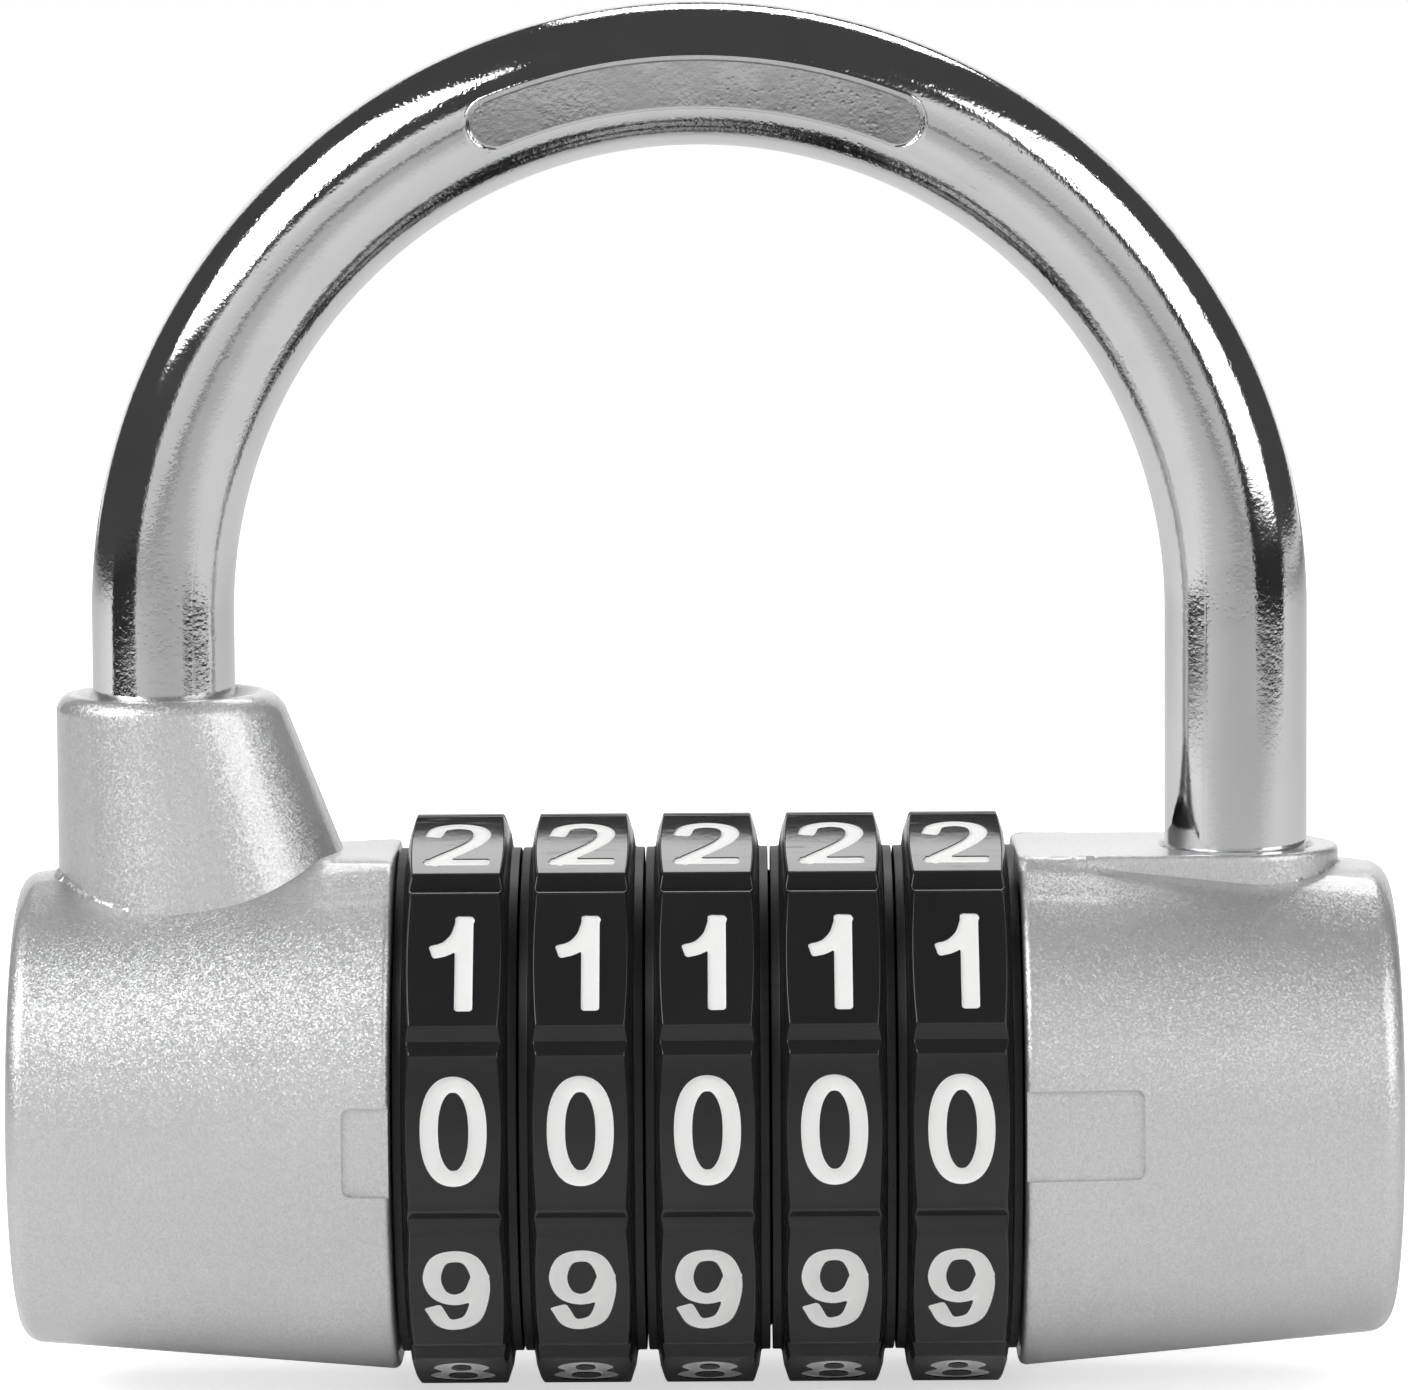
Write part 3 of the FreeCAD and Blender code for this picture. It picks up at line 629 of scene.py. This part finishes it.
def index_cutter(name, face_x, length, drop=0.0):
    """Cutter of a shallow mark with round corners; its floor follows the barrel."""
    side = 1 if face_x > 0 else -1
    half, round_r, deep = 2.5, 0.5, 0.2
    far_x = right_end_x if side > 0 else left_end_x
    slope = (barrel_end_r - barrel_r) / abs(far_x - face_x)
    rows = []
    for z in np.concatenate([-half + round_r * (1 - np.cos(np.linspace(0, math.pi / 2, 7))),
                             np.linspace(-half + round_r, half - round_r, 25)[1:-1],
                             half - round_r * (1 - np.cos(np.linspace(math.pi / 2, 0, 7)))]):
        left = max(abs(z) - (half - round_r), 0.0)
        reach = length - round_r + math.sqrt(max(round_r ** 2 - left ** 2, 0.0))
        rows.append((z, reach))
    points, faces = [], []
    for z, reach in rows:
        z -= drop
        for s in (-1.0, reach):
            x = face_x + side * s
            r = barrel_r + slope * s - deep
            points += [(x, -math.sqrt(r * r - z * z), z), (x, -17.0, z)]
    for i in range(len(rows) - 1):
        a, b = 4 * i, 4 * i + 4
        faces += [(a, a + 2, b + 2, b), (a + 1, b + 1, b + 3, a + 3), (a, b, b + 1, a + 1),
                  (a + 2, a + 3, b + 3, b + 2)]
    last = 4 * (len(rows) - 1)
    faces += [(0, 1, 3, 2), (last, last + 2, last + 3, last + 1)]
    return solid(name, (points, faces))


silver = bpy.data.materials.new("silver_paint")
add = nodes_in(blank_tree(silver))
place = add("ShaderNodeTexCoord", {}, {}, "Object")
flakes = add("ShaderNodeTexVoronoi", {"feature": "F1"}, {"Vector": place, "Scale": 11500.0}, "Color")
tilt = add("ShaderNodeVectorMath", {"operation": "SUBTRACT"}, {0: flakes, 1: (0.5, 0.5, 0.5)})
tilt = add("ShaderNodeVectorMath", {"operation": "SCALE"}, {0: tilt, "Scale": 0.3})
waves = add("ShaderNodeTexNoise", {}, {"Vector": place, "Scale": 1500.0, "Detail": 3.0})
base = add("ShaderNodeBump", {}, {"Height": waves, "Distance": 0.004 * mm, "Strength": 1.0})
glint = add("ShaderNodeVectorMath", {"operation": "ADD"}, {0: base, 1: tilt})
glint = add("ShaderNodeVectorMath", {"operation": "NORMALIZE"}, {0: glint})
cloud = add("ShaderNodeTexNoise", {}, {"Vector": place, "Scale": 120.0, "Detail": 3.0})
spark = add("ShaderNodeSeparateXYZ", {}, {"Vector": flakes}, "Z") * 0.5 + cloud * 0.5
tint = blend_colour(add, spark, (0.57, 0.57, 0.575, 1), (0.755, 0.755, 0.76, 1))
body = add("ShaderNodeBsdfPrincipled", {}, {
    "Base Color": tint, "Metallic": 0.95, "Roughness": 0.47 + waves * 0.08, "Normal": glint,
    "Coat Weight": 0.75, "Coat Roughness": 0.09})
add("ShaderNodeOutputMaterial", {}, {"Surface": body})


def finish_housing(piece, cutters, field, *bodies):
    """Skins a rough housing, cuts its holes and mark, and paints it."""
    cast_skin(piece, field, *bodies)
    carve(piece, cutters)
    piece.data.materials.clear()
    piece.data.materials.append(silver)
    paint_normals(piece, field, *bodies)


turret_body = long_boss(-leg_x - turret_back, -leg_x + turret_foot_reach, turret_foot_r, turret_foot_z,
                        -leg_x + turret_top_reach, turret_top_r, turret_top_z)
left = solid("left_casting", drum(left_face_x, left_end_x, barrel_r, barrel_end_r, flat_z), turret_body)
finish_housing(left, [
    solid("leg_hole", drill(-leg_x, -6.3, turret_top_z - turret_sink[1], hole_r)),
    solid("flange_seat", drum(left_face_x - 1.6, left_face_x + 1, flange_seat_r, flange_seat_r)),
    solid("tube_seat", drum(-24.8, left_face_x, tube_seat_r, tube_seat_r)),
    index_cutter("left_mark", left_face_x, 2.65, 0.7),
], left_skin, left_barrel, turret_skin)
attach(left, "lock_body")
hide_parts("left_housing")

pad_body = long_boss(right_face_x + pad_face_gap, leg_x + pad_half, pad_half, 0,
                     leg_x + pad_half, pad_half, flat_z)
right = solid("right_casting", drum(right_face_x, right_end_x, barrel_r, barrel_end_r, flat_z), pad_body)
finish_housing(right, [
    solid("toe_hole", drill(leg_x, 4.6, flat_z - pad_sink[1], hole_r)),
    solid("tube_seat", drum(right_face_x - 1, 25.8, tube_seat_r, tube_seat_r)),
    index_cutter("right_mark", right_face_x, 6.55),
], right_skin, right_barrel, pad_skin)
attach(right, "lock_body")
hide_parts("right_housing")

# The dials: five glossy black mouldings on the common axis, each with ten slightly crowned faces, a
# V groove between neighbours, drafted flanks and a thin collar at each side. One face with half of
# the groove on each side of it is drawn, and Geometry Nodes sets it round the axis.
dial_x = [0.35 + 6.94 * n for n in (-2, -1, 0, 1, 2)]
zero_angle = 2.2
face_edge_r, face_edge_at, groove_floor_r = 16.13, 15.25, 15.68
dial_half, collar_r, flank_half = 3.41, 14.2, 2.9
crown = 0.09
face_round, edge_round = 0.14, 0.12
flank_lean = math.radians(18.5)
flank_at = (2.771, 15.127)  # a point of the drafted flank
lip = 0.17                  # ring that closes the gap to the next dial, and the recess it enters
lip_low, lip_high, recess = 12.25, 12.75, 0.12
bore_r, tooth_r = 7.75, 8.5
shoulder_r, shoulder_x = 7.05, 2.9
tooth_at, tooth_half = 14.7, 7.2    # degrees from the face's middle to a tooth's groove
face_r = face_edge_r * math.cos(math.radians(face_edge_at))
face_half = face_edge_r * math.sin(math.radians(face_edge_at))
floor_at = (groove_floor_r * math.sin(math.radians(18)), groove_floor_r * math.cos(math.radians(18)))
wall_way = np.array([face_r - floor_at[1], floor_at[0] - face_half])
wall_way /= np.linalg.norm(wall_way)
wall_at = wall_way @ (face_half, face_r)


def crown_at(along):
    return crown * np.clip(1 - (along / face_half) ** 2, 0, 1)


def outer_radius(angle):
    """Distance from the axis to the skin of one face and half of each groove beside it."""
    low, high = 14.5, 16.5
    for _ in range(40):
        r = (low + high) / 2
        t, n = r * abs(math.sin(angle)), r * math.cos(angle)
        d = corner(np.float64(n - face_r - crown_at(t)), np.float64(wall_way @ (t, n) - wall_at), face_round)
        low, high = (r, high) if d < 0 else (low, r)
    return r


def dial_profile(angle):
    """Half of the section at one angle, from the collar's side out to the middle of the face."""
    top = outer_radius(angle)
    reach = flank_at[0] - (edge_round + math.sin(flank_lean) * (top - edge_round - flank_at[1])) \
        / math.cos(flank_lean)
    collar = [(dial_half, lip_high + 0.15), (dial_half, collar_r - 0.07),
              (dial_half - 0.02, collar_r - 0.02), (dial_half - 0.07, collar_r)]
    foot = [(flank_half + 0.1, collar_r), (flank_half + 0.03, collar_r + 0.025),
            (flank_half - 0.008, collar_r + 0.1), (2.838, 14.66), (2.775, 15.1)]
    rounds = [flank_lean + k * (math.pi / 2 - flank_lean) / 4 for k in range(5)]
    arc = [(reach + edge_round * math.cos(t), top - edge_round + edge_round * math.sin(t)) for t in rounds]
    return collar + foot + arc + [(reach * 0.6, top), (reach * 0.2, top)]


half_turn = np.array([0, 2.4, 4.8, 7.1, 7.5, 9.6, 11.6, 13.2, 14.3, 14.7, 14.85, 15, 15.12, 15.24,
                      15.36, 15.5, 15.65, 15.9, 16.5, 17.2, 18])
segment_turns = np.radians(np.concatenate([-half_turn[:0:-1], half_turn]))
points, faces = [], []
for angle in segment_turns:
    grooved = abs((math.degrees(angle) - tooth_at + 18) % 36 - 18) < tooth_half
    bore = tooth_r if grooved else bore_r
    half = dial_profile(angle)
    loop = [(dial_half, bore), (dial_half, lip_low - 0.05), (dial_half + lip, lip_low),
            (dial_half + lip, lip_high)]
    loop += half + [(-x, r) for x, r in reversed(half)]
    loop += [(-dial_half + recess, lip_high + 0.1), (-dial_half + recess, lip_low),
             (-dial_half, lip_low - 0.05), (-dial_half, shoulder_r), (-shoulder_x, shoulder_r),
             (-shoulder_x, bore)]
    a = angle + math.radians(zero_angle)
    points += [(x, -r * math.cos(a), r * math.sin(a)) for x, r in loop]
loop_count = len(loop)
for i in range(len(segment_turns) - 1):
    for j in range(loop_count):
        k = (j + 1) % loop_count
        a, b = i * loop_count, (i + 1) * loop_count
        faces.append((a + j, b + j, b + k, a + k))

black = bpy.data.materials.new("black_moulding")
add = nodes_in(blank_tree(black))
place = add("ShaderNodeTexCoord", {}, {}, "Object")
haze = add("ShaderNodeTexNoise", {}, {"Vector": place, "Scale": 260.0, "Detail": 4.0})
fine = add("ShaderNodeTexNoise", {}, {"Vector": place, "Scale": 2400.0, "Detail": 2.0})
drawn_out = add("ShaderNodeMapping", {}, {"Vector": place, "Scale": (300.0, 2600.0, 2600.0)})
scuffs = add("ShaderNodeTexNoise", {}, {"Vector": drawn_out, "Scale": 1.0, "Detail": 3.0}).step_up(0.58, 0.75)
tint = blend_colour(add, haze, (0.013, 0.013, 0.014, 1), (0.019, 0.019, 0.020, 1))
relief = add("ShaderNodeBump", {}, {"Height": fine * 0.4 + haze, "Distance": 0.008 * mm, "Strength": 0.6})
_, depth, up = parts_of(add, place)
from_axis = (depth * depth + (up - axis_z * mm) ** 2.0) ** 0.5
flank = 1.0 - from_axis.step_up(14.6 * mm, 15.3 * mm)
rough = 0.07 + haze * 0.06 + scuffs * 0.12 + flank * 0.34
body = add("ShaderNodeBsdfPrincipled", {}, {
    "Base Color": tint, "Roughness": rough, "Normal": relief, "IOR": 1.42})
add("ShaderNodeOutputMaterial", {}, {"Surface": body})

ring_tree = bpy.data.node_groups.new("faces_round_the_axis", "GeometryNodeTree")
ring_tree.interface.new_socket("Face", in_out="INPUT", socket_type="NodeSocketGeometry")
for name, kind in (("Faces", "NodeSocketInt"), ("Weld", "NodeSocketFloat"), ("Finish", "NodeSocketMaterial")):
    ring_tree.interface.new_socket(name, in_out="INPUT", socket_type=kind)
ring_tree.interface.new_socket("Dial", in_out="OUTPUT", socket_type="NodeSocketGeometry")
add = nodes_in(ring_tree)
given = ring_tree.nodes.new("NodeGroupInput")
face_in, faces_in, weld_in, finish_in = (Wire(ring_tree, s) for s in list(given.outputs)[:4])
spots = add("GeometryNodeMeshLine", {}, {"Count": faces_in, "Offset": (0, 0, 0)})
index = add("GeometryNodeInputIndex")
spin = add("ShaderNodeCombineXYZ", {}, {"X": index / faces_in * (2 * math.pi)})
copies = add("GeometryNodeInstanceOnPoints", {}, {"Points": spots, "Instance": face_in, "Rotation": spin})
real = add("GeometryNodeRealizeInstances", {}, {"Geometry": copies})
whole = add("GeometryNodeMergeByDistance", {}, {"Geometry": real, "Distance": weld_in})
done = add("GeometryNodeSetMaterial", {}, {"Geometry": whole, "Material": finish_in})
add("NodeGroupOutput", {}, {"Dial": done})

dial = add_piece("dial_blank", points, faces)
ring = dial.modifiers.new("ring", "NODES")
ring.node_group = ring_tree
for item in ring_tree.interface.items_tree:
    if item.in_out == "INPUT" and item.name in ("Faces", "Weld", "Finish"):
        ring[item.identifier] = {"Faces": 10, "Weld": 0.002 * mm, "Finish": black}[item.name]
settle(dial)


# The numerals: moulded 0.2 mm deep into the faces and filled with white paint that has crept a
# little up the walls, so that each stroke is brightest along its outline.
stroke_w, stroke_h = 1.0, 0.88
numeral_w, numeral_h = 3.66, 6.05
sunk, cell = 0.19, 0.11
middle_x, middle_y = (numeral_w - stroke_w) / 2, (numeral_h - stroke_h) / 2
oval = [(math.cos(t), math.sin(t)) for t in np.linspace(0, 2 * math.pi, 41)]
six = [(0.90, 0.60), (0.58, 0.93), (0.05, 1), (-0.62, 0.80), (-0.97, 0.15), (-0.98, -0.42),
       (-0.62, -0.88), (0, -1), (0.70, -0.87), (1, -0.38), (0.72, 0.10), (0.05, 0.26), (-0.62, 0.08),
       (-0.96, -0.36)]
numerals = [
    [("bent", [(abs(x) ** 0.88 * np.sign(x), abs(y) ** 0.88 * np.sign(y)) for x, y in oval])],
    [("straight", [(0.42, -1.11), (0.42, 0.89)]),
     ("bent", [(0.42, 0.87), (0.22, 0.55), (-0.14, 0.32), (-0.46, 0.22), (-0.60, 0.20)])],
    [("bent", [(-1, 0.52), (-0.78, 0.86), (0, 1), (0.76, 0.86), (1, 0.48), (0.74, 0.06), (0.10, -0.38),
               (-0.62, -0.78), (-0.95, -1)]),
     ("straight", [(-0.95, -1), (1, -1)])],
    [("bent", [(-0.95, 0.55), (-0.62, 0.91), (0, 1), (0.66, 0.86), (0.88, 0.52), (0.62, 0.17),
               (-0.15, 0.06)]),
     ("bent", [(-0.15, 0.06), (0.68, -0.08), (1, -0.48), (0.72, -0.87), (0, -1), (-0.72, -0.87), (-1, -0.5)])],
    [("straight", [(0.45, -1), (0.45, 1)]), ("straight", [(0.45, 1), (-1, -0.36), (1, -0.36)])],
    [("straight", [(0.85, 1), (-0.64, 1), (-0.88, 0.04)]),
     ("bent", [(-0.88, 0.04), (-0.35, 0.28), (0.22, 0.30), (0.82, 0.08), (1, -0.36), (0.74, -0.86), (0, -1),
               (-0.72, -0.87), (-1, -0.55)])],
    [("bent", six)],
    [("straight", [(-1, 1), (1, 1)]), ("bent", [(1, 1), (0.36, 0.35), (-0.14, -0.35), (-0.34, -1)])],
    [("bent", [(0.80 * x, 0.53 + 0.47 * y) for x, y in oval]),
     ("bent", [(x, -0.46 + 0.54 * y) for x, y in oval])],
    [("bent", [(-x, -y) for x, y in six])],
]


def path_of(kind, knots):
    """A stroke's middle line: straight runs, or a smooth line through its knots."""
    k = np.array(knots, float) * (middle_x, middle_y)
    if kind == "straight":
        return k
    closed = np.allclose(k[0], k[-1])
    before = k[-2] if closed else 2 * k[0] - k[1]
    after = k[1] if closed else 2 * k[-1] - k[-2]
    k = np.vstack([before, k, after])
    line = []
    for a, b, c, d in zip(k[:-3], k[1:-2], k[2:-1], k[3:]):
        for t in np.linspace(0, 1, 8, endpoint=False):
            line.append(b + 0.5 * t * (c - a + t * (2 * a - 5 * b + 4 * c - d + t * (3 * (b - c) + d - a))))
    return np.array(line + [k[-2]])


def depth_in(strokes, x, y):
    """Distance to the numeral's outline, negative inside, with upright strokes a little wider."""
    squeeze = np.array([stroke_h / stroke_w, 1.0])
    half = stroke_h / 2
    spot = np.stack([x, y], -1)[..., None, :] * squeeze
    best = np.full(x.shape, 9.0)
    for kind, knots in strokes:
        line = path_of(kind, knots) * squeeze
        a, b = line[:-1], line[1:]
        run = b - a
        t = np.clip(((spot - a) * run).sum(-1) / np.maximum((run ** 2).sum(-1), 1e-12), 0, 1)
        best = np.minimum(best, np.linalg.norm(spot - a - t[..., None] * run, axis=-1).min(-1) - half)
        if not np.allclose(line[0], line[-1]):
            for end, inward in ((line[0], line[1]), (line[-1], line[-2])):
                way = (end - inward) / np.linalg.norm(end - inward)
                beyond = (spot[..., 0, :] - end) @ way
                aside = np.abs((spot[..., 0, :] - end) @ (-way[1], way[0]))
                cap = corner(beyond - half, aside - half, 0.16)
                best = np.where(beyond > 0, np.minimum(best, cap), best)
    return best


def fill(strokes, grow):
    """Flat net of small cells inside a numeral's outline: points, faces and outline edges."""
    xs = np.arange(-2.2, 2.21, cell)
    ys = np.arange(-3.41, 3.42, cell)
    gx, gy = np.meshgrid(xs, ys, indexing="ij")
    f = depth_in(strokes, gx, gy) - grow
    f[np.abs(f) < 1e-5] = 1e-5
    names, spots, cells, rim = {}, [], [], []

    def point(key, x, y):
        if key not in names:
            names[key] = len(spots)
            spots.append((x, y))
        return names[key]

    for i in range(len(xs) - 1):
        for j in range(len(ys) - 1):
            around = [(i, j), (i + 1, j), (i + 1, j + 1), (i, j + 1)]
            if all(f[c] > 0 for c in around):
                continue
            loop, crossings = [], set()
            for c, d in zip(around, around[1:] + around[:1]):
                if f[c] < 0:
                    loop.append(point(c, xs[c[0]], ys[c[1]]))
                if (f[c] < 0) != (f[d] < 0):
                    t = min(max(f[c] / (f[c] - f[d]), 0.1), 0.9)
                    if c > d:
                        c, d, t = d, c, 1 - t
                    q = point((c, d), xs[c[0]] + t * (xs[d[0]] - xs[c[0]]),
                              ys[c[1]] + t * (ys[d[1]] - ys[c[1]]))
                    loop.append(q)
                    crossings.add(q)
            cells.append(tuple(loop))
            rim += [(a, b) for a, b in zip(loop, loop[1:] + loop[:1]) if a in crossings and b in crossings]
    return np.array(spots), cells, rim


def sink_numerals(name, grow, top, bottom, material=None):
    """One closed body for each numeral, set on its own face of the dial."""
    points, faces, edge = [], [], []
    for n, strokes in enumerate(numerals):
        spots, cells, rim = fill(strokes, grow)
        inside = -depth_in(strokes, spots[:, 0], spots[:, 1])
        a = math.radians(zero_angle + 36 * n)
        out = np.array([0, -math.cos(a), math.sin(a)])
        upward = np.array([0, math.sin(a), math.cos(a)])
        base = len(points)
        for level in (bottom, top):
            h = face_r + crown_at(spots[:, 1]) + level(inside)
            points += list(spots[:, :1] * (1, 0, 0) + h[:, None] * out + spots[:, 1:] * upward)
            edge += list(np.exp(-np.maximum(inside, 0) / 0.09))
        m = len(spots)
        faces += [tuple(base + i for i in reversed(c)) for c in cells]
        faces += [tuple(base + m + i for i in c) for c in cells]
        faces += [(base + a, base + b, base + b + m, base + a + m) for a, b in rim]
    piece = add_piece(name, points, faces, material)
    return piece, edge


def paint_top(inside):
    """The paint's surface, which stands higher towards the walls."""
    return 0.04 + 0.08 * np.exp(-np.maximum(inside, 0) / 0.1) - sunk


cutter, _ = sink_numerals("numeral_cutter", 0.0, lambda inside: 0 * inside + 0.4,
                          lambda inside: 0 * inside - sunk)
face_out(cutter)
carve(dial, [cutter])
dial.data.materials.clear()
dial.data.materials.append(black)
smooth(dial.data, 32)

enamel = bpy.data.materials.new("white_enamel")
add = nodes_in(blank_tree(enamel))
place = add("ShaderNodeTexCoord", {}, {}, "Object")
rim = add("ShaderNodeAttribute", {"attribute_name": "edge_share"}, {}, "Fac")
blot = add("ShaderNodeTexNoise", {}, {"Vector": place, "Scale": 900.0, "Detail": 3.0})
bright = (rim * 1.1 + blot * 0.35 - 0.1).math("ADD", 0.0, clamp=True)
tint = blend_colour(add, bright, (0.86, 0.86, 0.85, 1), (0.98, 0.98, 0.97, 1))
relief = add("ShaderNodeBump", {}, {"Height": blot, "Distance": 0.02 * mm, "Strength": 0.7})
body = add("ShaderNodeBsdfPrincipled", {}, {
    "Base Color": tint, "Roughness": 0.4 + blot * 0.1, "Normal": relief})
add("ShaderNodeOutputMaterial", {}, {"Surface": body})

paint, edge = sink_numerals("numeral_paint", 0.01, paint_top,
                            lambda inside: 0 * inside - sunk - 0.02, enamel)
share = paint.data.attributes.new("edge_share", "FLOAT", "POINT")
share.data.foreach_set("value", edge)
smooth(paint.data, 50)

even = dial.modifiers.new("even", "WEIGHTED_NORMAL")
even.keep_sharp = True
settle(dial)
for n, x in enumerate(dial_x):
    for blank, name in ((dial, f"black_dial_{n + 1}"), (paint, f"numerals_{n + 1}")):
        piece = bpy.data.objects.new(name, blank.data.copy())
        piece.data.name = name
        bpy.context.scene.collection.objects.link(piece)
        piece.data.transform(Matrix.Translation((x * mm, 0, axis_z * mm)))
        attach(piece, f"dial_body_{n + 1}")
        if blank is dial:
            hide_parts(f"dial_{n + 1}")
            if n == len(dial_x) - 1:    # no neighbour on the right, so no ring there
                p = mesh_points(piece.data)
                p[:, 0] = np.minimum(p[:, 0], (x + dial_half) * mm)
                piece.data.vertices.foreach_set("co", p.ravel())
bpy.data.objects.remove(dial)
bpy.data.objects.remove(paint)


# The works inside, mostly hidden: steel tube, spindle, springs, pin and screws, and a brass code
# sleeve in each dial. They keep the frame's own shapes.
def metal(name, light, dark, rough, scale):
    """Turned metal, with fine rings round the X axis."""
    finish = bpy.data.materials.new(name)
    add = nodes_in(blank_tree(finish))
    place = add("ShaderNodeTexCoord", {}, {}, "Object")
    ringed = add("ShaderNodeMapping", {}, {"Vector": place, "Scale": (scale * 6, scale, scale)})
    turned = add("ShaderNodeTexNoise", {}, {"Vector": ringed, "Scale": 1.0, "Detail": 3.0})
    tint = blend_colour(add, turned, dark, light)
    relief = add("ShaderNodeBump", {}, {"Height": turned, "Distance": 0.01 * mm, "Strength": 0.6})
    body = add("ShaderNodeBsdfPrincipled", {}, {
        "Base Color": tint, "Metallic": 1.0, "Roughness": rough + turned * 0.15, "Normal": relief})
    add("ShaderNodeOutputMaterial", {}, {"Surface": body})
    return finish


steel = metal("turned_steel", (0.56, 0.56, 0.57, 1), (0.42, 0.42, 0.43, 1), 0.25, 1500.0)
brass = metal("turned_brass", (0.78, 0.60, 0.30, 1), (0.66, 0.49, 0.23, 1), 0.22, 1500.0)
for name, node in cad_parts.items():
    if name.startswith("code_sleeve") or not node.hide_render:
        node.data.materials.clear()
        node.data.materials.append(brass if name.startswith("code_sleeve") else steel)
